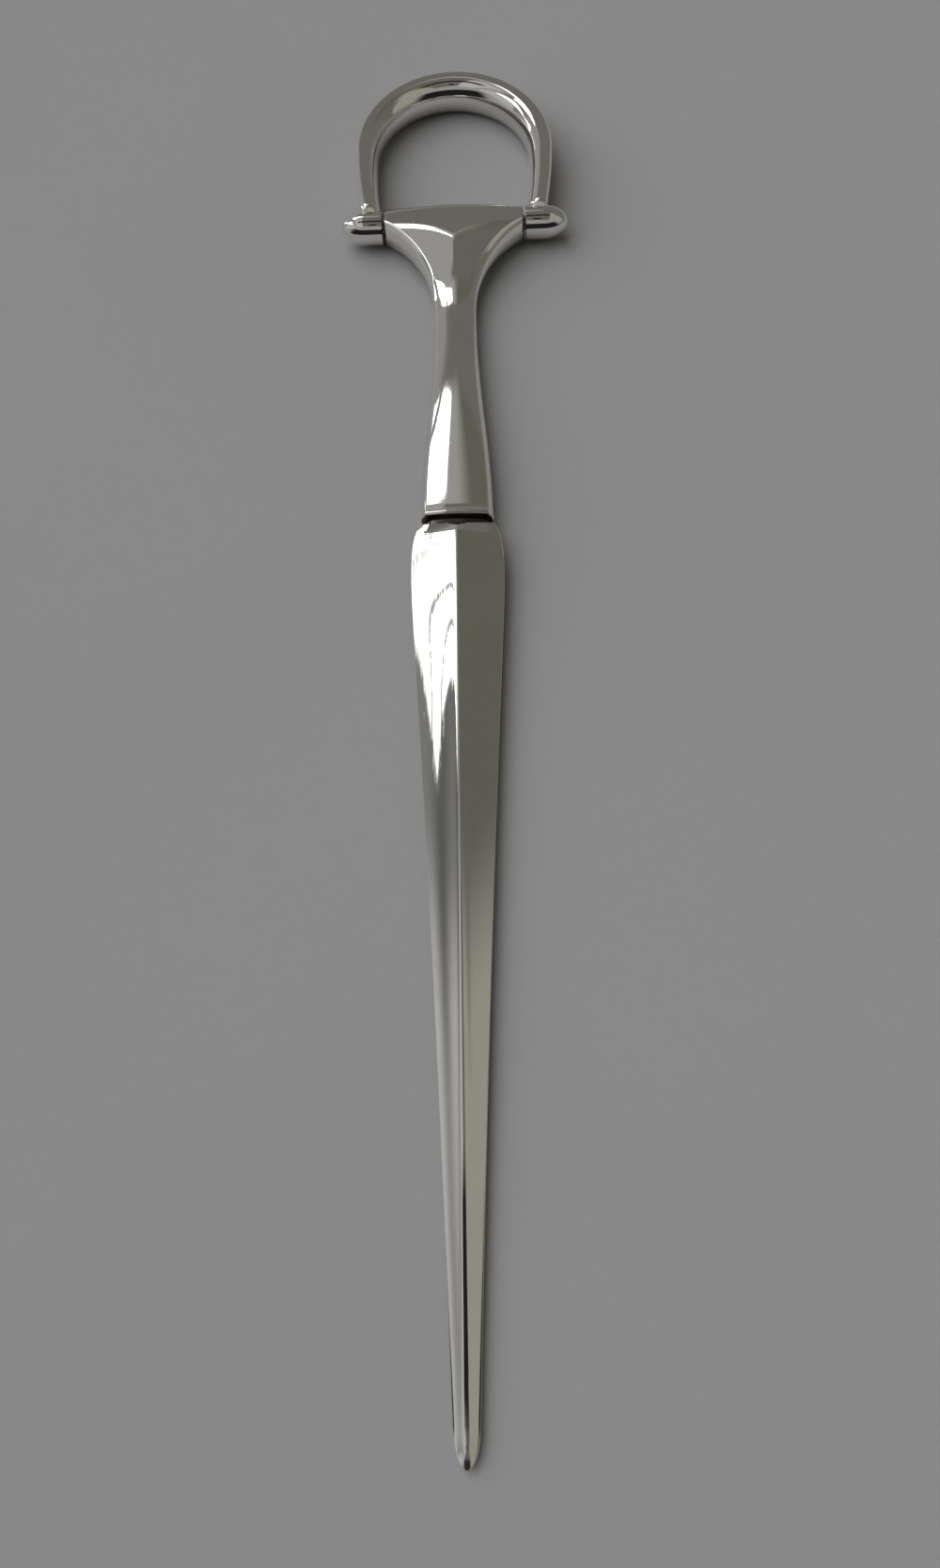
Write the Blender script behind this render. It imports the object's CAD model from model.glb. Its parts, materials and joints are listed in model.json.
import json
from math import asin, cos, exp, pi, radians, sin, sqrt

import bmesh
import bpy
from bpy.props import FloatProperty, FloatVectorProperty, PointerProperty
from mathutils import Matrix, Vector


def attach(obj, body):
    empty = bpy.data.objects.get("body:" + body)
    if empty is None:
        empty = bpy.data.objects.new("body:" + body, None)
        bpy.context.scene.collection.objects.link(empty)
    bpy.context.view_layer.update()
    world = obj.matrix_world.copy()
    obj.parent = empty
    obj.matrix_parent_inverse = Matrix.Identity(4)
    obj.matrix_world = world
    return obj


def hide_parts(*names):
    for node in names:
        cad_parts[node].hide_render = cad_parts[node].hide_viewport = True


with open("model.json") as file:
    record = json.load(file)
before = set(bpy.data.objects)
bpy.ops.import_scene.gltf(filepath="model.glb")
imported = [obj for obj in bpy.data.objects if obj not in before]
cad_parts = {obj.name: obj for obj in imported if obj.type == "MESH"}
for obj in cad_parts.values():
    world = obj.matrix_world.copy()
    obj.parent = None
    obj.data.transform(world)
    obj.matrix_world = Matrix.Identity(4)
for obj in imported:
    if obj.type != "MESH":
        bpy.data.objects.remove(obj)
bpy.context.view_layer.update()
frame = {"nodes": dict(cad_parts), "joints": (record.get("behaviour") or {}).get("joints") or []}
hinge_place = Vector(frame["joints"][0]["pos_m"])

bl_info = {
    "name": "Silver Letter Opener",
    "version": (1, 0, 0),
    "blender": (4, 5, 0),
    "location": "View3D > Sidebar > Letter Opener",
    "description": "Models a polished letter opener with a swinging bow around its packed solids",
    "category": "Object",
}


def millimetres(name, description, value):
    """Length property whose default is given in millimetres."""
    metres = value / 1000
    return FloatProperty(name=name, description=description, default=metres, unit="LENGTH", precision=5)


def share(name, description, value):
    """Plain number property."""
    return FloatProperty(name=name, description=description, default=value, precision=4)


def colour(name, description, value):
    """Colour property."""
    return FloatVectorProperty(
        name=name, description=description, default=value, subtype="COLOR", min=0, max=4
    )


class BowSizes(bpy.types.PropertyGroup):
    """Sizes of the horseshoe bow and its bosses."""

    width: millimetres("Bow width", "Across the outside of the bow at its waist", 38.8)
    reach: millimetres("Bow reach", "From the hinge line to the top of the crown", 39.195)
    waist_height: millimetres("Waist height", "From the hinge line to the widest place", 17.5)
    thickness: millimetres("Crown thickness", "Radial thickness of the crown", 5.2)
    depth: millimetres("Crown depth", "Depth of the crown from front to back", 7.4)
    edge_radius: millimetres("Edge radius", "Rounding of the bow's outer edges", 1.3)
    inner_share: share("Inner share", "Part of the thickness that is rounded inside", 0.58)
    foot_place: millimetres("Foot place", "From the middle to the middle of a foot", 15.7)
    foot_height: millimetres("Foot height", "From the hinge line to where a leg ends in its boss", 1.0)
    foot_thickness: millimetres("Foot thickness", "Thickness of a leg at its foot", 4.0)
    foot_depth: millimetres("Foot depth", "Depth of a leg at its foot", 6.0)
    foot_round: millimetres("Foot round", "Height of the rounded end of a leg over its boss", 1.3)
    boss_diameter: millimetres("Boss diameter", "Outside of a boss", 6.1)
    boss_start: millimetres("Boss start", "From the middle to a boss's inner face", 13.65)
    boss_length: millimetres("Boss length", "From the inner face to the nose", 8.1)
    nose_length: millimetres("Nose length", "Length of a boss's egg-shaped nose", 4.6)
    rim_radius: millimetres("Rim radius", "Rounding of a boss's inner rim", 0.14)
    pin_diameter: millimetres("Pin diameter", "Hinge pin", 2.4)
    pin_hold: millimetres("Pin hold", "How deep the pin sits in a boss", 4.4)


class HandleSizes(bpy.types.PropertyGroup):
    """Sizes of the handle and of the collar that ends it."""

    rest_tilt: FloatProperty(
        name="Rest tilt", description="Slope of the opener as it lies",
        default=radians(0.76694), subtype="ANGLE",
    )
    head_length: millimetres("Head length", "Length of the cross barrel", 26.4)
    head_depth: millimetres("Head depth", "Depth of the cross barrel in the middle", 7.38)
    head_crown: millimetres("Head crown", "Rise of the barrel's middle over its reach", 1.0)
    head_bulge: millimetres("Head bulge", "How far the sides bulge at the head", 1.7)
    flare_down: millimetres("Flare length", "From the hinge line to the plain neck", 22.0)
    flare_reach: millimetres("Flare reach", "Half width of the flare's curve on the hinge line", 17.55)
    back_lead: share("Back lead", "Below 1, the flare's back thins down sooner", 0.75)
    land_end: millimetres("Land at the ends", "Flat front below the hinge line, at the barrel's ends", 1.4)
    land_rise: millimetres("Land rise", "How much further down the flat front comes in the middle", 4.2)
    land_fade: millimetres("Land fade", "Distance from the middle over which that fades", 4.6)
    flare_bend: millimetres("Flare bend", "Length over which the front bends into the flare's slope", 2.8)
    flare_ease: millimetres("Flare ease", "From the hinge line to where the slope begins to ease", 12.0)
    neck_width: millimetres("Neck width", "Width of the neck", 7.9)
    neck_depth: millimetres("Neck depth", "Depth of the neck", 3.8)
    neck_crown: millimetres("Neck crown", "Rise of the neck's front", 0.6)
    neck_bulge: millimetres("Neck bulge", "How far the sides bulge at the neck", 1.1)
    grip_start: millimetres("Grip start", "From the hinge line to where the grip begins to swell", 26.0)
    grip_full: millimetres("Grip full", "From the hinge line to where the grip has its full depth", 46.0)
    grip_end: millimetres("Grip end", "From the hinge line to the collar", 66.9)
    grip_width: millimetres("Grip width", "Width of the grip at the collar", 12.4)
    grip_depth: millimetres("Grip depth", "Depth of the grip at the collar", 4.6)
    grip_crown: millimetres("Grip crown", "Rise of the grip's front at the collar", 0.4)
    grip_bulge: millimetres("Grip bulge", "How far the sides bulge at the collar", 0.9)
    edge_radius: millimetres("Edge radius", "Rounding of the handle's edges", 0.22)
    bore_diameter: millimetres("Bore diameter", "Hole for the hinge pin", 2.5)
    bead_length: millimetres("Bead length", "Length of the collar's bead", 1.15)
    bead_proud: millimetres("Bead proud", "How far the bead stands out from the grip", 0.1)
    bead_edge: millimetres("Bead edge", "Rounding of the bead", 0.45)
    groove_length: millimetres("Groove length", "Length of the collar's groove", 1.4)
    groove_inset: millimetres("Groove inset", "How far the groove is drawn in", 0.8)


class BladeSizes(bpy.types.PropertyGroup):
    """Sizes of the blade and its tang."""

    start: millimetres("Blade start", "From the hinge line to the blade's shoulder", 69.45)
    length: millimetres("Blade length", "From the shoulder to the tip", 141.4)
    shoulder_width: millimetres("Shoulder width", "Width at the collar", 12.8)
    shoulder_depth: millimetres("Shoulder depth", "Ridge to ridge at the shoulder", 5.2)
    shoulder_edge: millimetres("Shoulder edge", "Thickness of the edges at the shoulder", 2.6)
    shoulder_round: millimetres("Shoulder round", "Length over which the shoulder widens", 4.0)
    hip_drop: millimetres("Hip drop", "How far the ridge slopes in at the collar", 0.9)
    hip_length: millimetres("Hip length", "Length of that slope", 2.0)
    taper_width: millimetres("Taper width", "Width that the taper starts from", 17.3)
    taper_sag: millimetres("Taper sag", "How far the taper is drawn in half way", 0.92)
    edge: millimetres("Edge", "Thickness of the edges", 0.8)
    edge_round: millimetres("Edge round", "Length over which the edges thin down", 10.0)
    edge_radius: millimetres("Edge radius", "Rounding of the edges", 0.1)
    bulge: share("Facet bulge", "Bulge of the facets near the shoulder", 0.004)
    hollow: share("Facet hollow", "Hollow of the facets further down", 0.025)
    hollow_round: millimetres("Hollow start", "Length over which the bulge turns hollow", 25.0)
    crest: millimetres("Crest", "Half width of the rounded crest on the ridge", 0.12)
    crest_tip: millimetres("Crest at the tip", "Half width of the crest near the tip", 0.5)
    point_width: millimetres("Point width", "Width where the point begins", 3.7)
    point_length: millimetres("Point length", "Length of the rounded point", 5.4)
    point_depth: millimetres("Point depth", "Ridge to ridge where the point begins", 1.9)
    slope_length: millimetres("Slope length", "Length of the slope to the tip", 9.0)
    tip_depth: millimetres("Tip depth", "Thickness of the tip", 0.8)
    tang_length: millimetres("Tang length", "Length of the tang", 24.0)
    tang_width: millimetres("Tang width", "Width of the tang", 6.0)
    tang_depth: millimetres("Tang depth", "Depth of the tang", 2.4)
    tang_room: millimetres("Tang room", "Clearance round the tang in its socket", 0.05)


class SilverLook(bpy.types.PropertyGroup):
    """Colours and finish of the metal."""

    silver: colour("Silver", "Clean polished silver", (0.93, 0.915, 0.885))
    tarnish: colour("Tarnish", "Silver that has yellowed a little", (0.80, 0.76, 0.66))
    steel: colour("Pin steel", "Turned steel of the hinge pin", (0.24, 0.235, 0.23))
    groove_shade: colour("Groove shade", "Dark silver in the groove and the gaps", (0.10, 0.085, 0.075))
    wave: millimetres("Wave", "Height of the waves left by hand polishing", 0.02)
    hairline: millimetres("Hairline", "Depth of the hairlines left by use", 0.0006)


class StageLook(bpy.types.PropertyGroup):
    """Floor, light and camera."""

    floor: colour("Floor", "Pale matt board", (0.31, 0.305, 0.31))
    backdrop: colour("Backdrop", "Plain backdrop behind the floor", (0.31, 0.305, 0.31))
    window: share("Window", "Brightness of the window on the left", 2.4)
    lamp: share("Lamp", "Strength of the soft lamp on the left", 2.2)
    camera_place: FloatVectorProperty(
        name="Camera place", description="Where the camera stands", default=(0.00681, -0.11042, 0.180),
        subtype="TRANSLATION", unit="LENGTH", precision=5,
    )
    camera_turn: FloatVectorProperty(
        name="Camera turn", description="How the camera is turned",
        default=(radians(24.0157), radians(2.0097), radians(-0.7068)), subtype="EULER",
    )
    lens: FloatProperty(
        name="Lens", description="Focal length of the camera", default=28.81, subtype="DISTANCE_CAMERA"
    )


def ease(part):
    """Part that starts and ends softly."""
    return part * part * (3 - 2 * part)


def blend(first, last, part):
    """Value that goes evenly from first to last as part goes from 0 to 1."""
    return first + (last - first) * part


def steps(first, last, spacing):
    """Even steps from first to last, about a spacing apart."""
    count = max(1, round((last - first) / spacing))
    return [blend(first, last, i / count) for i in range(count + 1)]


def clear_selection():
    """Leaves edit mode and deselects everything."""
    if bpy.context.object and bpy.context.object.mode != "OBJECT":
        bpy.ops.object.mode_set(mode="OBJECT")
    bpy.ops.object.select_all(action="DESELECT")


def select_alone(piece):
    """Selects one piece and makes it the active one."""
    clear_selection()
    piece.select_set(True)
    bpy.context.view_layer.objects.active = piece


def select_verts(piece, test):
    """In edit mode, selects the vertices that pass a test, and what they bound."""
    mesh = bmesh.from_edit_mesh(piece.data)
    bpy.ops.mesh.select_all(action="DESELECT")
    for vert in mesh.verts:
        vert.select = test(vert)
    mesh.select_flush(True)
    bmesh.update_edit_mesh(piece.data)


# Points closer than this many metres, or alike to this many digits, are one.
SAME_PLACE = 1e-7
SAME_DIGITS = 7


def start_ring(points):
    """A circle whose vertices are put at the points of a piece's first section, left in edit mode."""
    clear_selection()
    bpy.ops.mesh.primitive_circle_add(vertices=len(points))
    piece = bpy.context.object
    bpy.ops.object.mode_set(mode="EDIT")
    mesh = bmesh.from_edit_mesh(piece.data)
    mark = mesh.verts.layers.int.new("mark")
    for index, vert in enumerate(mesh.verts):
        vert[mark] = index
        vert.co = points[index]
    bmesh.update_edit_mesh(piece.data)
    return piece


def draw_on(piece, points):
    """Extrudes the open end that is selected and puts the new end at the points of the next section."""
    bpy.ops.mesh.extrude_edges_indiv()
    mesh = bmesh.from_edit_mesh(piece.data)
    mark = mesh.verts.layers.int["mark"]
    for vert in mesh.verts:
        if vert.select:
            vert.co = points[vert[mark]]
    bmesh.update_edit_mesh(piece.data)


def draw_out(rings):
    """Draws a piece out from its first section to its last, which stays selected in edit mode."""
    piece = start_ring(rings[0])
    for ring in rings[1:]:
        draw_on(piece, ring)
    return piece


def rounded_place(point):
    """A point's place to the digits that count."""
    return tuple(round(part, SAME_DIGITS) for part in point)


def close_start(piece, points):
    """Closes the end that a piece was started from."""
    first = {rounded_place(point) for point in points}
    select_verts(piece, lambda vert: rounded_place(vert.co) in first)
    bpy.ops.mesh.edge_face_add()


def tidy_mesh():
    """In edit mode, merges doubles and turns all faces outwards."""
    bpy.ops.mesh.select_all(action="SELECT")
    bpy.ops.mesh.remove_doubles(threshold=SAME_PLACE)
    bpy.ops.mesh.normals_make_consistent(inside=False)


def apply_modifier(piece, kind, **settings):
    """Adds a modifier, sets it up and applies it."""
    select_alone(piece)
    modifier = piece.modifiers.new(kind.title(), kind)
    for key, value in settings.items():
        setattr(modifier, key, value)
    bpy.ops.object.modifier_apply(modifier=modifier.name)


def cut_away(piece, cutter):
    """Takes a cutter's shape out of a piece and deletes the cutter."""
    apply_modifier(piece, "BOOLEAN", operation="DIFFERENCE", solver="EXACT", object=cutter)
    bpy.data.objects.remove(cutter)


def finish_piece(piece, name, body, material, smooth_angle, tilt=0):
    """Names a piece, puts it on the hinge, shades it and gives it its metal, body and slot."""
    select_alone(piece)
    piece.name = name
    piece.data.name = name
    piece.location = hinge_place
    piece.rotation_euler = (tilt, 0, 0)
    bpy.ops.object.transform_apply(location=True, rotation=True, scale=True)
    bpy.ops.object.shade_smooth_by_angle(angle=radians(smooth_angle))
    piece.data.materials.clear()
    piece.data.materials.append(material)
    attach(piece, body)


# Steps round an outer corner of the bow's section, and round its inner side.
CORNER_STEPS = 7
OVAL_STEPS = 26


def bow_ring(sizes, place, along, thickness, depth):
    """Section of the bow: square with rounded corners outside, half an oval inside."""
    inwards = Vector((-along[1], along[0], 0)).normalized()
    outer = -thickness / 2
    high = depth / 2
    corner = sizes.edge_radius
    middle = thickness * (0.5 - sizes.inner_share)
    profile = []
    for step in range(CORNER_STEPS + 1):
        angle = step / CORNER_STEPS * pi / 2
        profile.append((outer + corner * (1 - sin(angle)), high - corner * (1 - cos(angle))))
    profile += [(across, -up) for across, up in reversed(profile)]
    for step in range(OVAL_STEPS + 1):
        angle = (step / OVAL_STEPS - 0.5) * pi
        profile.append((middle + thickness * sizes.inner_share * cos(angle), high * sin(angle)))
    return [Vector((*place, 0)) + inwards * across + Vector((0, 0, up)) for across, up in profile]


# Radians from one section of the bow to the next.
LEG_TURN = 0.006
CROWN_TURN = pi / 88


def bow_rings(sizes):
    """Sections along the right-hand half of the bow, from its foot up to the crown's top."""
    top = sizes.reach - sizes.thickness / 2
    leg_height = top - sizes.foot_height
    drop = sizes.waist_height - sizes.foot_height
    waist_thickness = blend(sizes.foot_thickness, sizes.thickness, ease(drop / leg_height))
    half_width = (sizes.width - waist_thickness) / 2
    spread = half_width - sizes.foot_place
    leg_radius = (drop**2 + spread**2) / (2 * spread)
    rise = top - sizes.waist_height
    lines = []
    for lean in reversed(steps(0, asin(drop / leg_radius), LEG_TURN)[1:]):
        x = half_width - leg_radius * (1 - cos(lean))
        lines.append((x, sizes.waist_height - leg_radius * sin(lean), sin(lean), cos(lean)))
    for turn in steps(0, pi / 2, CROWN_TURN):
        x = half_width * cos(turn)
        y = sizes.waist_height + rise * sin(turn)
        lines.append((x, y, -half_width * sin(turn), rise * cos(turn)))
    rings = []
    for x, y, along_x, along_y in lines:
        over_foot = y - sizes.foot_height
        thickness = blend(sizes.foot_thickness, sizes.thickness, ease(over_foot / leg_height))
        rounded = min(over_foot / sizes.foot_round, 1)
        depth = blend(sizes.foot_depth, sizes.depth, sqrt(1 - (1 - rounded) ** 2))
        rings.append(bow_ring(sizes, (x, y), (along_x, along_y), thickness, depth))
    return rings


def mirrored(points):
    """The same points on the left-hand side."""
    return [Vector((-point.x, point.y, point.z)) for point in points]


def model_bow(sizes):
    """Draws out the right leg, goes over the crown and comes down the left leg."""
    right = bow_rings(sizes)
    left = [mirrored(ring) for ring in reversed(right[:-1])]
    piece = draw_out(right + left)
    bpy.ops.mesh.edge_face_add()
    close_start(piece, right[0])
    tidy_mesh()
    return piece


# Points round a boss, and radians from one section of its rim and nose to the next.
BOSS_SIDES = 96
RIM_TURN = pi / 10
NOSE_TURN = pi / 64


def boss_ring(side, place, radius):
    """Round section of a boss."""
    ring = []
    for step in range(BOSS_SIDES):
        angle = 2 * pi * step / BOSS_SIDES
        ring.append(Vector((side * place, radius * cos(angle), radius * sin(angle))))
    return ring


def model_boss(sizes, side):
    """Boss: a blind hole for the pin, a rounded inner rim, a barrel and an egg-shaped nose."""
    radius = sizes.boss_diameter / 2
    pin = sizes.pin_diameter / 2
    start = sizes.boss_start
    rim = sizes.rim_radius
    profile = [(start + sizes.pin_hold, pin), (start, pin)]
    for angle in steps(0, pi / 2, RIM_TURN):
        profile.append((start + rim * (1 - cos(angle)), radius - rim * (1 - sin(angle))))
    nose_start = start + sizes.boss_length - sizes.nose_length
    for angle in steps(0, pi / 2, NOSE_TURN)[:-1]:
        profile.append((nose_start + sizes.nose_length * sin(angle), radius * cos(angle)))
    rings = [boss_ring(side, place, size) for place, size in profile]
    nose_end = Vector((side * (start + sizes.boss_length), 0, 0))
    piece = draw_out(rings + [[nose_end] * BOSS_SIDES])
    close_start(piece, rings[0])
    tidy_mesh()
    return piece


def flare_drop(sizes, down, across):
    """Part of the front's thinning that is done: none on the land, then an even slope to the neck."""
    land = sizes.land_end + sizes.land_rise * exp(-abs(across) / sizes.land_fade)
    slope_start = land + sizes.flare_bend
    ease_length = sizes.flare_down - sizes.flare_ease
    total = sizes.flare_bend / 2 + sizes.flare_ease - slope_start + ease_length / 2
    if down < land:
        return 0
    if down < slope_start:
        return (down - land) ** 2 / (2 * sizes.flare_bend) / total
    if down < sizes.flare_ease:
        return (sizes.flare_bend / 2 + down - slope_start) / total
    return 1 - (sizes.flare_down - down) ** 2 / (2 * ease_length) / total


# Steps across the front of a handle's section, and down one side.
FRONT_STEPS = 56
SIDE_STEPS = 10


def even(depth):
    """Half of a depth that is the same all across a section."""
    return lambda across: depth / 2


def oval_half(front, back, width, crown, bulge):
    """Half of a flat oval section, its crowned front and one bulging side.

    The functions front and back give the half depth at a distance from the middle.
    """
    rim_x = width / 2 - bulge
    half = []
    for step in range(FRONT_STEPS):
        across = 1 - 2 * step / FRONT_STEPS
        half.append((rim_x * across, front(rim_x * across) - crown * across * across))
    for step in range(SIDE_STEPS):
        part = step / SIDE_STEPS
        level = 1 - 2 * part
        height = blend(front(rim_x), -back(rim_x), part) - crown * level
        half.append((-rim_x - bulge * (1 - level * level), height))
    return half


def oval_ring(front, back, width, crown, bulge, down):
    """Flat oval section of the handle or collar."""
    upper = oval_half(front, back, width, crown, bulge)
    lower = oval_half(back, front, width, crown, bulge)
    return [Vector((x, -down, z)) for x, z in upper] + [Vector((-x, -down, -z)) for x, z in lower]


def flare_ring(sizes, down):
    """Section of the flare between the barrel and the neck."""
    part = ease(down / sizes.flare_down)
    rise = sizes.flare_reach - sizes.neck_width / 2
    radius = (sizes.flare_down**2 + rise**2) / (2 * rise)
    width = sizes.neck_width + 2 * (radius - sqrt(radius**2 - (sizes.flare_down - down) ** 2))
    bulge = blend(sizes.head_bulge, sizes.neck_bulge, part)
    narrowed = (width / 2 - bulge) / (sizes.flare_reach - sizes.head_bulge)
    crown = blend(sizes.head_crown * narrowed**2, sizes.neck_crown, part)
    back_part = ease((down / sizes.flare_down) ** sizes.back_lead)
    back = even(blend(sizes.head_depth, sizes.neck_depth, back_part))

    def front(across):
        return blend(sizes.head_depth, sizes.neck_depth, flare_drop(sizes, down, across)) / 2

    return oval_ring(front, back, width, crown, bulge, down)


def shaft_ring(sizes, down):
    """Section of the handle's shaft at a distance from the hinge line."""
    if down < sizes.flare_down:
        return flare_ring(sizes, down)
    part = ease(max(down - sizes.grip_start, 0) / (sizes.grip_end - sizes.grip_start))
    width = blend(sizes.neck_width, sizes.grip_width, part)
    thickened = ease(min((down - sizes.flare_down) / (sizes.grip_full - sizes.flare_down), 1))
    surface = even(blend(sizes.neck_depth, sizes.grip_depth, thickened))
    crown = blend(sizes.neck_crown, sizes.grip_crown, part)
    bulge = blend(sizes.neck_bulge, sizes.grip_bulge, part)
    return oval_ring(surface, surface, width, crown, bulge, down)


def cut_socket(piece, blade):
    """Cuts the socket for the blade's tang into a piece."""
    clear_selection()
    room = 2 * blade.tang_room
    bpy.ops.mesh.primitive_cube_add(size=1, location=(0, -blade.start, 0))
    socket = bpy.context.object
    socket.scale = (blade.tang_width + room, 2 * blade.tang_length + room, blade.tang_depth + room)
    bpy.ops.object.transform_apply(location=True, rotation=True, scale=True)
    cut_away(piece, socket)


# Metres between the handle's sections.
FLARE_SPACING = 0.0004
GRIP_SPACING = 0.0011
# Steps round the back of the barrel and round an edge, and sides of the bore.
BACK_STEPS = 40
EDGE_STEPS = 3
BORE_SIDES = 48
# Edges that turn by more than this many degrees are rounded.
EDGE_ANGLE = 24


def model_handle(sizes, blade):
    """Draws out the shaft, spins the back of the barrel, cuts its ends and its holes."""
    flare = steps(0, sizes.flare_down, FLARE_SPACING)
    grip = steps(sizes.flare_down, sizes.grip_end, GRIP_SPACING)[1:]
    rings = [shaft_ring(sizes, down) for down in flare + grip]
    piece = draw_out(rings)
    bpy.ops.mesh.edge_face_add()
    rim = rings[0][0].z - SAME_PLACE
    select_verts(piece, lambda vert: abs(vert.co.y) < SAME_PLACE and vert.co.z > rim)
    bpy.ops.mesh.spin(steps=BACK_STEPS, angle=pi, center=(0, 0, 0), axis=(1, 0, 0))
    tidy_mesh()
    for side in (1, -1):
        end = (side * sizes.head_length / 2, 0, 0)
        bpy.ops.mesh.select_all(action="SELECT")
        bpy.ops.mesh.bisect(plane_co=end, plane_no=(side, 0, 0), use_fill=True, clear_outer=True)
    tidy_mesh()
    apply_modifier(
        piece, "BEVEL", width=sizes.edge_radius, segments=EDGE_STEPS, use_clamp_overlap=False,
        limit_method="ANGLE", angle_limit=radians(EDGE_ANGLE),
    )
    bpy.ops.mesh.primitive_cylinder_add(
        vertices=BORE_SIDES, radius=sizes.bore_diameter / 2,
        depth=2 * sizes.head_length, rotation=(0, pi / 2, 0),
    )
    cut_away(piece, bpy.context.object)
    cut_socket(piece, blade)
    return piece


BEAD_STEPS = 5


def collar_profile(sizes):
    """The collar's surface: how far down it is from the grip, and how far it stands out."""
    edge = []
    for step in range(BEAD_STEPS + 1):
        angle = step / BEAD_STEPS * pi / 2
        out = sizes.bead_proud - sizes.bead_edge * (1 - sin(angle))
        edge.append((sizes.bead_edge * (1 - cos(angle)), out))
    far_edge = [(sizes.bead_length - down, out) for down, out in reversed(edge)]
    groove_end = sizes.bead_length + sizes.groove_length
    groove = [(down, -sizes.groove_inset) for down in (sizes.bead_length, groove_end)]
    return edge + far_edge + groove


def model_collar(sizes, blade):
    """Bead with rounded edges and a groove drawn in below it."""
    rings = []
    for down, out in collar_profile(sizes):
        surface = even(sizes.grip_depth + 2 * out)
        width = sizes.grip_width + 2 * out
        place = sizes.grip_end + down
        rings.append(oval_ring(surface, surface, width, sizes.grip_crown, sizes.grip_bulge, place))
    piece = draw_out(rings)
    bpy.ops.mesh.edge_face_add()
    close_start(piece, rings[0])
    tidy_mesh()
    cut_socket(piece, blade)
    return piece


def ridge_half(sizes, at):
    """Half the ridge-to-ridge depth of the blade, with the hip at the collar."""
    point_at = sizes.length - sizes.point_length
    full = blend(sizes.shoulder_depth, sizes.point_depth, at / point_at) / 2
    return full - sizes.hip_drop * max(0, 1 - at / sizes.hip_length)


def slope_half(sizes, at):
    """Half the depth that the slope to the tip leaves."""
    slope_at = sizes.length - sizes.slope_length
    if at <= slope_at:
        return sizes.shoulder_depth
    full = ridge_half(sizes, slope_at)
    reach = sizes.slope_length / sqrt(1 - (sizes.tip_depth / 2 / full) ** 2)
    return full * sqrt(1 - ((at - slope_at) / reach) ** 2)


def blade_half_width(sizes, at):
    """Half the width of the blade at a distance from its shoulder."""
    point_at = sizes.length - sizes.point_length
    part = at / point_at
    taper = blend(sizes.taper_width, sizes.point_width, part) - 4 * sizes.taper_sag * part * (1 - part)
    width = taper - (sizes.taper_width - sizes.shoulder_width) * exp(-at / sizes.shoulder_round)
    if at > point_at:
        width = sizes.point_width * sqrt(max(0, 1 - ((at - point_at) / sizes.point_length) ** 2))
    return width / 2


# An edge keeps below this share of the ridge, and a rounding below that share of what it rounds.
EDGE_SHARE = 0.92
ROUND_SHARE = 0.3
# Facets have more points near the ridge, by this power of the distance from it.
FACET_STEPS = 18
FACET_POWER = 1.6


def blade_ring(sizes, at):
    """Section of the blade: two facets with a crest between them on each face, and blunt edges."""
    half = blade_half_width(sizes, at)
    top = ridge_half(sizes, at)
    low = slope_half(sizes, at)
    fade = exp(-at / sizes.edge_round)
    rim = min(blend(sizes.edge, sizes.shoulder_edge, fade) / 2, EDGE_SHARE * top, EDGE_SHARE * low)
    bulge = blend(-sizes.hollow, sizes.bulge, exp(-at / sizes.hollow_round))
    crest = min(blend(sizes.crest, sizes.crest_tip, at / sizes.length), ROUND_SHARE * half)
    corner = min(sizes.edge_radius, ROUND_SHARE * half, ROUND_SHARE * rim)
    facet_half = half - corner

    def facet(across):
        out = min(sqrt(across * across + crest * crest), facet_half)
        rise = 1 - out / facet_half
        return min(blend(rim, top, rise) + 4 * bulge * rise * (1 - rise) * facet_half, low)

    front = []
    for step in range(2 * FACET_STEPS + 1):
        place = 1 - step / FACET_STEPS
        across = facet_half * abs(place) ** FACET_POWER * (1 if place > 0 else -1)
        front.append((across, facet(across)))
    half_ring = [(half, rim - corner)] + front + [(-half, rim - corner)]
    return [Vector((x, -sizes.start - at, z)) for x, z in half_ring + [(-x, -z) for x, z in half_ring]]


def tang_ring(sizes, ring, back):
    """The tang's outline, with as many points as the blade's section has."""
    half_x = sizes.tang_width / 2
    half_z = sizes.tang_depth / 2
    points = []
    for point in ring:
        scale = max(abs(point.x) / half_x, abs(point.z) / half_z)
        points.append(Vector((point.x / scale, -sizes.start + back, point.z / scale)))
    return points


# Metres between the blade's sections, and from the last ones to the tip.
HIP_SPACING = 0.0004
BLADE_SPACING = 0.002
POINT_SPACING = 0.0003
TIP_GAPS = (0.00015, 0.00006, 0.00001)


def model_blade(sizes):
    """Draws out the tang, the shoulder and the facets down to the rounded tip."""
    hip_end = 2 * sizes.hip_length
    slope_at = sizes.length - sizes.slope_length
    hip = steps(0, hip_end, HIP_SPACING)
    body = steps(hip_end, slope_at, BLADE_SPACING)[1:]
    point = steps(slope_at, sizes.length - POINT_SPACING, POINT_SPACING)[1:]
    tip = [sizes.length - gap for gap in TIP_GAPS]
    rings = [blade_ring(sizes, at) for at in hip + body + point + tip]
    tang_end = tang_ring(sizes, rings[0], sizes.tang_length)
    tang_start = tang_ring(sizes, rings[0], 0)
    piece = draw_out([tang_end, tang_start] + rings)
    bpy.ops.mesh.merge(type="CENTER")
    close_start(piece, tang_end)
    tidy_mesh()
    return piece


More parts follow.
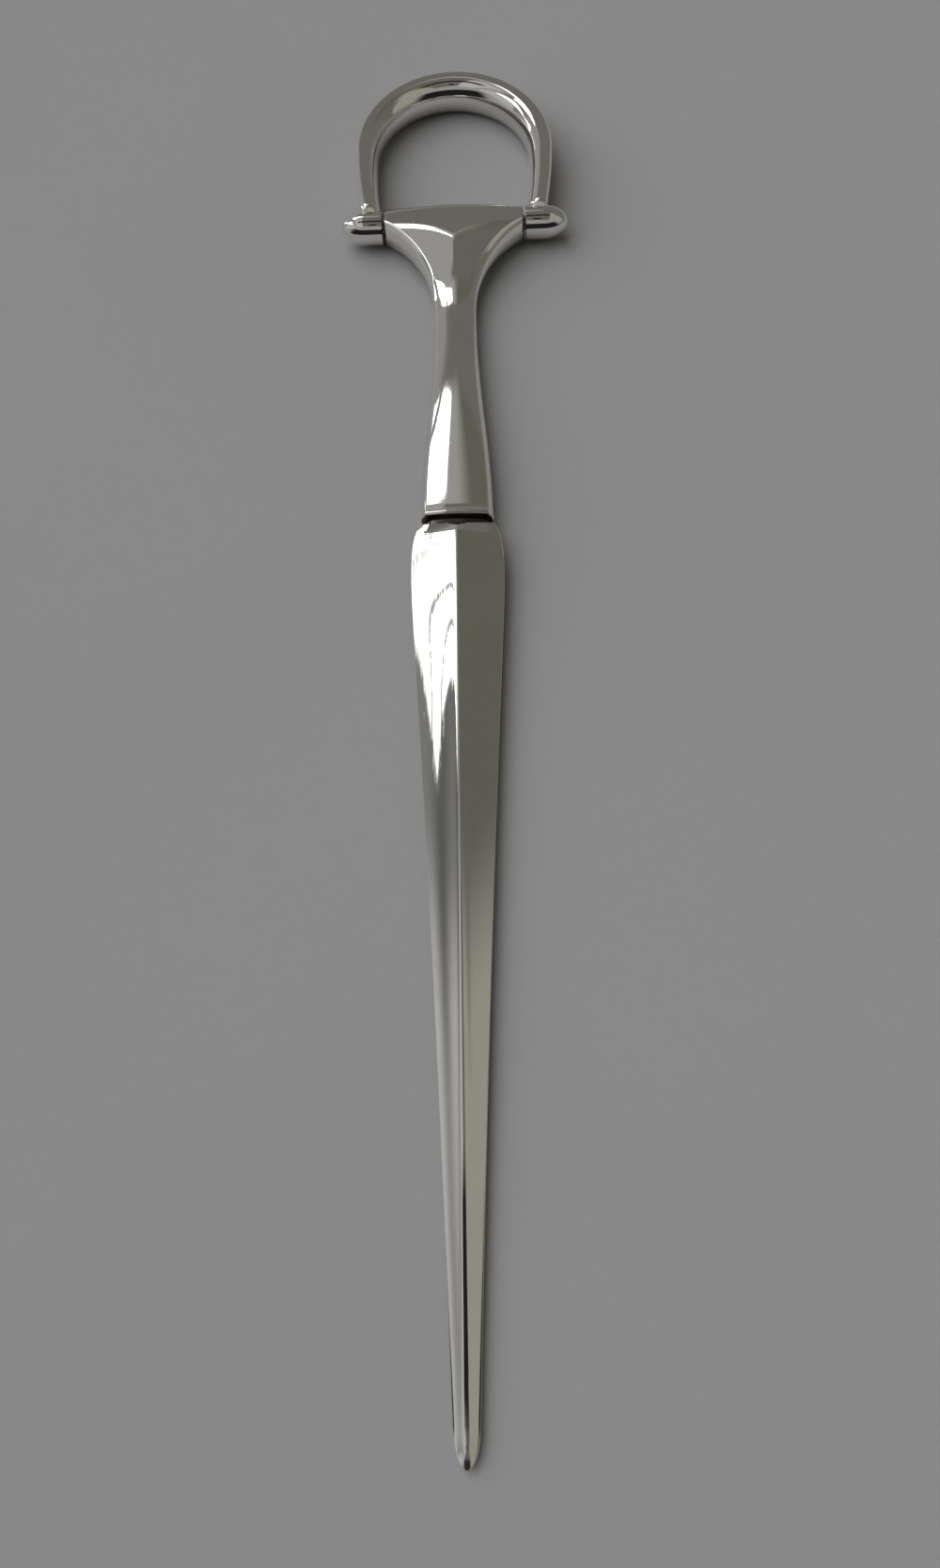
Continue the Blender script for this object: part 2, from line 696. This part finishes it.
class NodeTree:
    """Short names for adding and joining nodes."""

    def __init__(self, tree):
        self.tree = tree

    def add(self, kind, settings=None, **inputs):
        """Adds a node, sets its properties and fills its inputs with values or links."""
        node = self.tree.nodes.new(kind)
        for key, value in (settings or {}).items():
            setattr(node, key, value)
        for key, value in inputs.items():
            self.fill(node.inputs[key.replace("_", " ")], value)
        return node

    def fill(self, socket, value):
        """Links a socket, or sets its value."""
        if isinstance(value, bpy.types.NodeSocket):
            self.tree.links.new(value, socket)
        else:
            socket.default_value = value

    def place(self):
        """Place on the piece, in the object's own axes."""
        return self.add("ShaderNodeTexCoord").outputs["Object"]

    def split(self, vector):
        """The three parts of a vector."""
        return self.add("ShaderNodeSeparateXYZ", Vector=vector).outputs

    def noise(self, vector, scale, detail, roughness=0.5):
        """Soft noise over a place or a direction."""
        node = self.add("ShaderNodeTexNoise", Vector=vector, Scale=scale, Detail=detail)
        node.inputs["Roughness"].default_value = roughness
        return node.outputs["Fac"]

    def math(self, operation, *values):
        """Result of a math node."""
        node = self.add("ShaderNodeMath", {"operation": operation})
        for socket, value in zip(node.inputs, values):
            self.fill(socket, value)
        return node.outputs[0]

    def vector_math(self, operation, first, second):
        """Vector math node for two vectors."""
        node = self.add("ShaderNodeVectorMath", {"operation": operation})
        self.fill(node.inputs[0], first)
        self.fill(node.inputs[1], second)
        return node

    def ramp(self, value, low, high):
        """Soft step from 0 at low to 1 at high."""
        node = self.add("ShaderNodeMapRange", {"interpolation_type": "SMOOTHSTEP"}, Value=value)
        node.inputs["From Min"].default_value = low
        node.inputs["From Max"].default_value = high
        return node.outputs["Result"]

    def span(self, value, low, high, soft):
        """Mask that is 1 between low and high, with soft ends."""
        rise = self.ramp(value, low - soft, low + soft)
        fall = self.math("SUBTRACT", 1.0, self.ramp(value, high - soft, high + soft))
        return self.math("MULTIPLY", rise, fall)

    def overlap(self, *masks):
        """Mask of what lies in all of the masks."""
        result = masks[0]
        for mask in masks[1:]:
            result = self.math("MULTIPLY", result, mask)
        return result

    def mix(self, factor, first, second):
        """Colour between two others."""
        node = self.add("ShaderNodeMix", {"data_type": "RGBA"})
        self.fill(node.inputs[0], factor)
        for socket, value in ((node.inputs[6], first), (node.inputs[7], second)):
            self.fill(socket, value if isinstance(value, bpy.types.NodeSocket) else (*value, 1.0))
        return node.outputs[2]


HAIRLINE_STEP = (0.55, 0.75)
HAZE_STEP = (0.45, 0.75)


def polish_group():
    """Node group for hand-polished metal: long waves, fine hairlines and faint haze."""
    group = bpy.data.node_groups.new("Hand polish", "ShaderNodeTree")
    group.interface.new_socket("Grain", in_out="INPUT", socket_type="NodeSocketVector")
    for name in ("Waves", "Hairlines", "Haze"):
        group.interface.new_socket(name, in_out="OUTPUT", socket_type="NodeSocketFloat")
    nodes = NodeTree(group)
    given = nodes.add("NodeGroupInput")
    made = nodes.add("NodeGroupOutput")
    place = nodes.place()
    stretched = nodes.vector_math("MULTIPLY", place, given.outputs["Grain"]).outputs["Vector"]
    waves = nodes.noise(place, scale=70.0, detail=1.0, roughness=0.4)
    lines = nodes.noise(stretched, scale=1.0, detail=3.0, roughness=0.6)
    haze = nodes.noise(place, scale=110.0, detail=4.0, roughness=0.62)
    nodes.fill(made.inputs["Waves"], waves)
    nodes.fill(made.inputs["Hairlines"], nodes.ramp(lines, *HAIRLINE_STEP))
    nodes.fill(made.inputs["Haze"], nodes.ramp(haze, *HAZE_STEP))
    return group


def shared_polish():
    """The polish group, made once."""
    return bpy.data.node_groups.get("Hand polish") or polish_group()


def new_material(name):
    """A new material, its nodes and its shader."""
    material = bpy.data.materials.new(name)
    material.use_nodes = True
    return material, NodeTree(material.node_tree), material.node_tree.nodes["Principled BSDF"]


# How much the haze yellows the metal, and how many times the base roughness a hairline adds.
HAZE_STAIN = 0.22
HAIRLINE_ROUGHNESS = 1.5


def metal(name, look, base, grain, roughness):
    """Polished metal with waves, hairlines and haze in its roughness, colour and bump."""
    material, nodes, shader = new_material(name)
    shader.inputs["Metallic"].default_value = 1.0
    polish = nodes.add("ShaderNodeGroup", {"node_tree": shared_polish()})
    polish.inputs["Grain"].default_value = grain
    waves = polish.outputs["Waves"]
    hairlines = polish.outputs["Hairlines"]
    haze = polish.outputs["Haze"]
    stain = nodes.math("MULTIPLY", haze, HAZE_STAIN)
    nodes.fill(shader.inputs["Base Color"], nodes.mix(stain, base, look.tarnish))
    hazed = nodes.math("MULTIPLY_ADD", haze, roughness, roughness)
    scratched = nodes.math("MULTIPLY_ADD", hairlines, HAIRLINE_ROUGHNESS * roughness, hazed)
    nodes.fill(shader.inputs["Roughness"], scratched)
    wave_bump = nodes.add("ShaderNodeBump", Strength=1.0, Distance=look.wave, Height=waves)
    line_bump = nodes.add("ShaderNodeBump", Strength=1.0, Distance=look.hairline, Height=hairlines)
    nodes.fill(line_bump.inputs["Normal"], wave_bump.outputs["Normal"])
    nodes.fill(shader.inputs["Normal"], line_bump.outputs["Normal"])
    return material


def darken(material, mask, shade):
    """Turns a metal's colour to a shade where a mask is 1."""
    nodes = NodeTree(material.node_tree)
    socket = material.node_tree.nodes["Principled BSDF"].inputs["Base Color"]
    nodes.fill(socket, nodes.mix(mask, socket.links[0].from_socket, shade))


# Hairlines to the metre along each axis.
HAND_GRAIN = (2600, 2600, 900)
BLADE_GRAIN = (4200, 240, 4200)
TURNED_GRAIN = (9000, 600, 600)

# Where the dark of the hinge's gaps and of the collar's groove ends, in metres.
GAP_SOFTNESS = 0.00005
GAP_REACH = (0.0040, 0.0036)
GROOVE_EDGE = (0.00022, 0.00002)


def silver(context):
    """Polished silver of the handle and bow, darkened in the hinge's narrow gaps, made once."""
    made = bpy.data.materials.get("Polished silver")
    if made:
        return made
    look = context.scene.opener_silver
    made = metal("Polished silver", look, look.silver, HAND_GRAIN, roughness=0.035)
    nodes = NodeTree(made.node_tree)
    sideways, forwards, up = nodes.split(nodes.place())
    in_plane = nodes.add("ShaderNodeCombineXYZ", Y=forwards, Z=up).outputs["Vector"]
    off_hinge = nodes.vector_math("DISTANCE", in_plane, hinge_place).outputs["Value"]
    gap_start = context.scene.opener_handle.head_length / 2 - GAP_SOFTNESS
    gap_end = context.scene.opener_bow.boss_start + 2 * GAP_SOFTNESS
    gap = nodes.span(nodes.math("ABSOLUTE", sideways), gap_start, gap_end, GAP_SOFTNESS)
    darken(made, nodes.overlap(gap, nodes.ramp(off_hinge, *GAP_REACH)), look.groove_shade)
    return made


def collar_silver(context):
    """Polished silver that is darkened in the collar's groove."""
    look = context.scene.opener_silver
    sizes = context.scene.opener_handle
    material = metal("Collar silver", look, look.silver, HAND_GRAIN, roughness=0.05)
    nodes = NodeTree(material.node_tree)
    along = nodes.split(nodes.place())["Y"]
    groove_top = hinge_place.y - sizes.grip_end - sizes.bead_length
    start, end = (groove_top + gap for gap in GROOVE_EDGE)
    darken(material, nodes.ramp(along, start, end), look.groove_shade)
    return material


# Edges that turn by more than this many degrees stay sharp.
ROUND_SMOOTH = 30
HANDLE_SMOOTH = 24
BLADE_SMOOTH = 9


class OPENER_OT_bow(bpy.types.Operator):
    """Models the horseshoe bow"""

    bl_idname = "opener.bow"
    bl_label = "Bow"

    def execute(self, context):
        piece = model_bow(context.scene.opener_bow)
        finish_piece(piece, "bow", "ring", silver(context), ROUND_SMOOTH)
        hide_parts("ring_bow")
        return {"FINISHED"}


class OPENER_OT_bosses(bpy.types.Operator):
    """Models both bosses and finishes the hinge pin"""

    bl_idname = "opener.bosses"
    bl_label = "Bosses and pin"

    def execute(self, context):
        look = context.scene.opener_silver
        for side, name in ((-1, "left"), (1, "right")):
            piece = model_boss(context.scene.opener_bow, side)
            finish_piece(piece, f"boss_{name}", "ring", silver(context), ROUND_SMOOTH)
            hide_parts(f"{name}_boss")
        steel = metal("Turned steel", look, look.steel, TURNED_GRAIN, roughness=0.16)
        pin = frame["nodes"]["hinge_pin"]
        pin.data.materials.clear()
        pin.data.materials.append(steel)
        return {"FINISHED"}


class OPENER_OT_handle(bpy.types.Operator):
    """Models the handle and its collar"""

    bl_idname = "opener.handle"
    bl_label = "Handle and collar"

    def execute(self, context):
        sizes = context.scene.opener_handle
        blade = context.scene.opener_blade
        tilt = sizes.rest_tilt
        piece = model_handle(sizes, blade)
        polished = silver(context)
        finish_piece(piece, "grip_handle", "opener", polished, HANDLE_SMOOTH, tilt)
        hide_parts("handle")
        ring = model_collar(sizes, blade)
        banded = collar_silver(context)
        finish_piece(ring, "grip_collar", "opener", banded, ROUND_SMOOTH, tilt)
        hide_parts("collar")
        return {"FINISHED"}


class OPENER_OT_blade(bpy.types.Operator):
    """Models the blade"""

    bl_idname = "opener.blade"
    bl_label = "Blade"

    def execute(self, context):
        look = context.scene.opener_silver
        tilt = context.scene.opener_handle.rest_tilt
        piece = model_blade(context.scene.opener_blade)
        brushed = metal("Blade silver", look, look.silver, BLADE_GRAIN, roughness=0.035)
        finish_piece(piece, "paper_blade", "opener", brushed, BLADE_SMOOTH, tilt)
        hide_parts("blade")
        return {"FINISHED"}


# The room is painted by slopes: how far a direction leads across and ahead for each metre that it rises.
# An edge is the pair of slopes where it starts and ends, a stretch its two ends and their softness.
LEAST_RISE = 0.03


class RoomPaint(NodeTree):
    """Nodes that paint a room on the world."""

    def __init__(self, tree):
        super().__init__(tree)
        tree.nodes.clear()
        self.direction = self.add("ShaderNodeTexCoord").outputs["Generated"]
        self.sideways, self.forwards, self.up = self.split(self.direction)
        rise = self.math("MAXIMUM", self.up, LEAST_RISE)
        self.across = self.math("DIVIDE", self.sideways, rise)
        self.ahead = self.math("DIVIDE", self.forwards, rise)

    def corner(self, across, ahead):
        """Mask of what lies past an edge in both directions."""
        return self.overlap(self.ramp(self.across, *across), self.ramp(self.ahead, *ahead))

    def patch(self, across, ahead):
        """Mask of what lies on a stretch in both directions."""
        return self.overlap(self.span(self.across, *across), self.span(self.ahead, *ahead))


# Colours of the walls and the ceiling, each with the edges or stretches where it takes over.
LEFT_NEAR = (0.42, 0.42, 0.41)
LEFT_FAR = (0.30, 0.30, 0.292)
LEFT_FAR_AHEAD = (0.22, 0.44)
LEFT_END = (0.18, 0.18, 0.175)
LEFT_END_ACROSS = (-0.52, -0.44)
RIGHT_NEAR = (0.29, 0.292, 0.245)
RIGHT_ACROSS = (-0.12, 0.12)
PILLAR_NEAR = (0.25, 0.25, 0.245)
PILLAR_FAR = (0.10, 0.10, 0.097)
PILLAR_FAR_AHEAD = (0.1, 0.38)
PILLAR_PLACE = -0.67
PILLAR_WIDTH = (0.15, 0.0)
RIGHT_FAR = (0.115, 0.115, 0.096)
RIGHT_FAR_ACROSS = (-0.05, 0.15)
RIGHT_FAR_AHEAD = (0.21, 0.42)
RIGHT_END = (0.13, 0.13, 0.11)
RIGHT_END_ACROSS = (0.655, 0.70)
RIGHT_END_AHEAD = (0.05, 0.25)
CEILING = (0.13, 0.125, 0.115)
CEILING_ACROSS = (-0.16, 0.38, 0.03)
CEILING_AHEAD = (-0.72, 0.62, 0.06)
FAR_WALL_LEFT = (0.26, 0.255, 0.25)
FAR_WALL_RIGHT = (0.14, 0.135, 0.125)
FAR_WALL_ACROSS = (-0.75, -0.35)
FAR_WALL_AHEAD = (0.86, 0.96)
NEAR_WALL = (0.28, 0.28, 0.26)
NEAR_WALL_AHEAD = (-0.66, -0.9)


def paint_walls(room):
    """Grey walls on the left and right, the ceiling between them, and the walls far off and near."""
    left_far = room.mix(room.ramp(room.across, *LEFT_END_ACROSS), LEFT_END, LEFT_FAR)
    left = room.mix(room.ramp(room.ahead, *LEFT_FAR_AHEAD), LEFT_NEAR, left_far)
    walls = room.mix(room.ramp(room.across, *RIGHT_ACROSS), left, RIGHT_NEAR)
    off_pillar = room.math("ABSOLUTE", room.math("SUBTRACT", room.across, PILLAR_PLACE))
    pillar = room.mix(room.ramp(room.ahead, *PILLAR_FAR_AHEAD), PILLAR_NEAR, PILLAR_FAR)
    walls = room.mix(room.ramp(off_pillar, *PILLAR_WIDTH), walls, pillar)
    walls = room.mix(room.corner(RIGHT_FAR_ACROSS, RIGHT_FAR_AHEAD), walls, RIGHT_FAR)
    walls = room.mix(room.corner(RIGHT_END_ACROSS, RIGHT_END_AHEAD), walls, RIGHT_END)
    walls = room.mix(room.patch(CEILING_ACROSS, CEILING_AHEAD), walls, CEILING)
    far_wall = room.mix(room.ramp(room.across, *FAR_WALL_ACROSS), FAR_WALL_LEFT, FAR_WALL_RIGHT)
    walls = room.mix(room.ramp(room.ahead, *FAR_WALL_AHEAD), walls, far_wall)
    return room.mix(room.ramp(room.ahead, *NEAR_WALL_AHEAD), walls, NEAR_WALL)


# Colours of the shades, each with its places. Up, sideways and forwards are parts of the direction itself.
DARK_PATCH = (0.015, 0.012, 0.015)
MIDDLE_PATCH_ACROSS = (-0.42, 0.36, 0.05)
MIDDLE_PATCH_AHEAD = (-0.11, 0.07, 0.025)
NEAR_PATCH_ACROSS = (-0.06, 0.03, 0.02)
NEAR_PATCH_AHEAD = (-0.58, -0.37, 0.03)
LOW_WALL_LEFT = (0.30, 0.30, 0.29)
LOW_WALL_RIGHT = (0.15, 0.15, 0.13)
LOW_WALL_SIDEWAYS = (-0.5, 0.3)
LOW_WALL_UP = (0.35, 0.1)
FRONT_SHADE = (0.012, 0.011, 0.013)
FRONT_SHADE_FORWARDS = (-0.45, -0.72)
FRONT_SHADE_UP = (0.58, 0.50)


def paint_shades(room, walls):
    """Dark patches overhead, which the bow and the tip mirror, low walls and a dark front."""
    middle_patch = room.patch(MIDDLE_PATCH_ACROSS, MIDDLE_PATCH_AHEAD)
    near_patch = room.patch(NEAR_PATCH_ACROSS, NEAR_PATCH_AHEAD)
    walls = room.mix(room.math("MAXIMUM", middle_patch, near_patch), walls, DARK_PATCH)
    low_wall = room.mix(room.ramp(room.sideways, *LOW_WALL_SIDEWAYS), LOW_WALL_LEFT, LOW_WALL_RIGHT)
    walls = room.mix(room.ramp(room.up, *LOW_WALL_UP), walls, low_wall)
    in_front = room.ramp(room.forwards, *FRONT_SHADE_FORWARDS)
    front_shade = room.overlap(in_front, room.ramp(room.up, *FRONT_SHADE_UP))
    return room.mix(front_shade, walls, FRONT_SHADE)


# Places of the window's panes. The lintel, the sill and two sides of the side pane run at a slant.
LINTEL_SLOPE = -0.43
LINTEL_PLACE = 0.82
LINTEL_EDGE = (-0.012, 0.012)
MAIN_PANE_ACROSS = (-0.44, -0.15, 0.012)
MAIN_PANE_AHEAD = (0.72, 0.74)
LEFT_PANE_ACROSS = (-0.85, -0.40, 0.012)
SILL_MIDDLE = -0.635
SILL_SLOPES = (0.9, -1.6)
SILL_EDGE = (0.453, 0.477)
BAR_ACROSS = (-0.50, -0.53)
BAR_AHEAD = (0.94, 0.91)
FOLDS = 80.0
FOLD_RIPPLE = 9.0
FOLD_EDGE = (0.72, 0.97)
FOLD_SHADE = 0.96
SIDE_PANE_ACROSS = (-0.85, -0.91)
SIDE_PANE_AHEAD = (-0.2, -0.12)
SIDE_TOP_SLOPE = 0.45
SIDE_TOP_BEND = 0.3
SIDE_TOP_BEND_UP = (0.36, 0.28)
SIDE_TOP_EDGE = (0.06, -0.06)
SIDE_END_SLOPE = 1.3
SIDE_END_EDGE = (-1.12, -1.0)


def window_panes(room):
    """Mask of the window: the main pane, the curtained pane to its left and the pane at the side."""
    lintel = room.math("MULTIPLY_ADD", room.across, LINTEL_SLOPE, LINTEL_PLACE)
    under_lintel = room.ramp(room.math("SUBTRACT", lintel, room.ahead), *LINTEL_EDGE)
    on_main = room.span(room.across, *MAIN_PANE_ACROSS)
    main_pane = room.overlap(on_main, room.ramp(room.ahead, *MAIN_PANE_AHEAD), under_lintel)

    off_middle = room.math("SUBTRACT", room.across, SILL_MIDDLE)
    sill_sides = [room.math("MULTIPLY", off_middle, slope) for slope in SILL_SLOPES]
    over_sill = room.math("SUBTRACT", room.ahead, room.math("MAXIMUM", *sill_sides))
    left_of_bar = room.ramp(room.across, *BAR_ACROSS)
    beside_bar = room.math("MAXIMUM", room.ramp(room.ahead, *BAR_AHEAD), left_of_bar)
    ripple = room.math("MULTIPLY", room.noise(room.direction, scale=9.0, detail=2.0), FOLD_RIPPLE)
    wave = room.math("SINE", room.math("MULTIPLY_ADD", room.across, FOLDS, ripple))
    folds = room.math("MULTIPLY", room.ramp(wave, *FOLD_EDGE), FOLD_SHADE)
    curtained = room.overlap(room.ramp(over_sill, *SILL_EDGE), room.span(room.across, *LEFT_PANE_ACROSS))
    left_pane = room.overlap(curtained, under_lintel, beside_bar, room.math("SUBTRACT", 1.0, folds))

    bent = room.ramp(room.up, *SIDE_TOP_BEND_UP)
    top_slope = room.math("MULTIPLY_ADD", bent, SIDE_TOP_BEND, SIDE_TOP_SLOPE)
    side_top = room.math("MULTIPLY_ADD", room.across, top_slope, room.ahead)
    side_end = room.math("MULTIPLY_ADD", room.ahead, SIDE_END_SLOPE, room.across)
    side_corner = room.corner(SIDE_PANE_ACROSS, SIDE_PANE_AHEAD)
    side_pane = room.overlap(
        side_corner, room.ramp(side_top, *SIDE_TOP_EDGE), room.ramp(side_end, *SIDE_END_EDGE)
    )
    return room.math("MAXIMUM", room.math("MAXIMUM", main_pane, left_pane), side_pane)


DAYLIGHT_BLUE = 0.985


def paint_room(world, look):
    """Paints the room that the metal mirrors, behind a plain backdrop for the camera."""
    world.use_nodes = True
    room = RoomPaint(world.node_tree)
    walls = paint_shades(room, paint_walls(room))
    daylight = (look.window, look.window, DAYLIGHT_BLUE * look.window)
    painted = room.mix(window_panes(room), walls, daylight)
    seen = room.add("ShaderNodeLightPath").outputs["Is Camera Ray"]
    painted = room.mix(seen, painted, look.backdrop)
    light = room.add("ShaderNodeBackground", Color=painted, Strength=1.0)
    room.add("ShaderNodeOutputWorld", Surface=light.outputs["Background"])


CLOUD_SHADE = 0.94


def board_material(look):
    """Pale matt board with a faint paper grain."""
    material, nodes, shader = new_material("Pale board")
    shader.inputs["Roughness"].default_value = 0.85
    shader.inputs["Specular IOR Level"].default_value = 0.2
    place = nodes.place()
    cloud = nodes.noise(place, scale=9.0, detail=3.0)
    grain = nodes.noise(place, scale=2500.0, detail=2.0)
    darker = [CLOUD_SHADE * channel for channel in look.floor]
    nodes.fill(shader.inputs["Base Color"], nodes.mix(cloud, darker, look.floor))
    bump = nodes.add("ShaderNodeBump", Strength=0.25, Distance=0.0001, Height=grain)
    nodes.fill(shader.inputs["Normal"], bump.outputs["Normal"])
    return material


FLOOR_SIZE = 8
LAMP_PLACE = (-0.75, 0.25, 0.95)
LAMP_SPREAD = radians(85)
SENSOR_WIDTH = 36
NEAREST = 0.01


class OPENER_OT_stage(bpy.types.Operator):
    """Sets up the floor, the light and the camera"""

    bl_idname = "opener.stage"
    bl_label = "Stage"

    def execute(self, context):
        look = context.scene.opener_stage
        clear_selection()
        bpy.ops.mesh.primitive_plane_add(size=FLOOR_SIZE)
        floor = context.object
        floor.name = "floor"
        floor.data.materials.append(board_material(look))
        world = bpy.data.worlds.new("Studio")
        context.scene.world = world
        paint_room(world, look)
        bpy.ops.object.light_add(type="SUN", location=LAMP_PLACE)
        lamp = context.object
        lamp.rotation_euler = (-Vector(LAMP_PLACE)).to_track_quat("-Z", "Y").to_euler()
        lamp.data.angle = LAMP_SPREAD
        lamp.data.energy = look.lamp
        lamp.visible_glossy = False
        bpy.ops.object.camera_add(location=look.camera_place, rotation=look.camera_turn)
        camera = context.object
        camera.data.sensor_width = SENSOR_WIDTH
        camera.data.lens = look.lens
        camera.data.clip_start = NEAREST
        context.scene.camera = camera
        context.scene.view_settings.view_transform = "Standard"
        return {"FINISHED"}


OPERATORS = (OPENER_OT_bow, OPENER_OT_bosses, OPENER_OT_handle, OPENER_OT_blade, OPENER_OT_stage)
GROUPS = {
    "opener_bow": BowSizes,
    "opener_handle": HandleSizes,
    "opener_blade": BladeSizes,
    "opener_silver": SilverLook,
    "opener_stage": StageLook,
}


class OPENER_PT_panel(bpy.types.Panel):
    """Lists the pieces and their sizes"""

    bl_label = "Letter Opener"
    bl_space_type = "VIEW_3D"
    bl_region_type = "UI"
    bl_category = "Letter Opener"

    def draw(self, context):
        for operator in OPERATORS:
            self.layout.operator(operator.bl_idname)
        for name, group in GROUPS.items():
            values = getattr(context.scene, name)
            for key in group.__annotations__:
                self.layout.prop(values, key)


def register():
    """Adds the sizes to the scene, and the operators and the panel to Blender."""
    for name, group in GROUPS.items():
        bpy.utils.register_class(group)
        setattr(bpy.types.Scene, name, PointerProperty(type=group))
    for operator in OPERATORS:
        bpy.utils.register_class(operator)
    bpy.utils.register_class(OPENER_PT_panel)


def unregister():
    """Takes away what register added."""
    bpy.utils.unregister_class(OPENER_PT_panel)
    for operator in reversed(OPERATORS):
        bpy.utils.unregister_class(operator)
    for name, group in GROUPS.items():
        delattr(bpy.types.Scene, name)
        bpy.utils.unregister_class(group)


def main():
    """Models every piece, sets the stage and notes the boxes of the solids and of the model."""
    register()
    bpy.ops.opener.bow()
    bpy.ops.opener.bosses()
    bpy.ops.opener.handle()
    bpy.ops.opener.blade()
    bpy.ops.opener.stage()
    clear_selection()


if __name__ == "__main__":
    main()
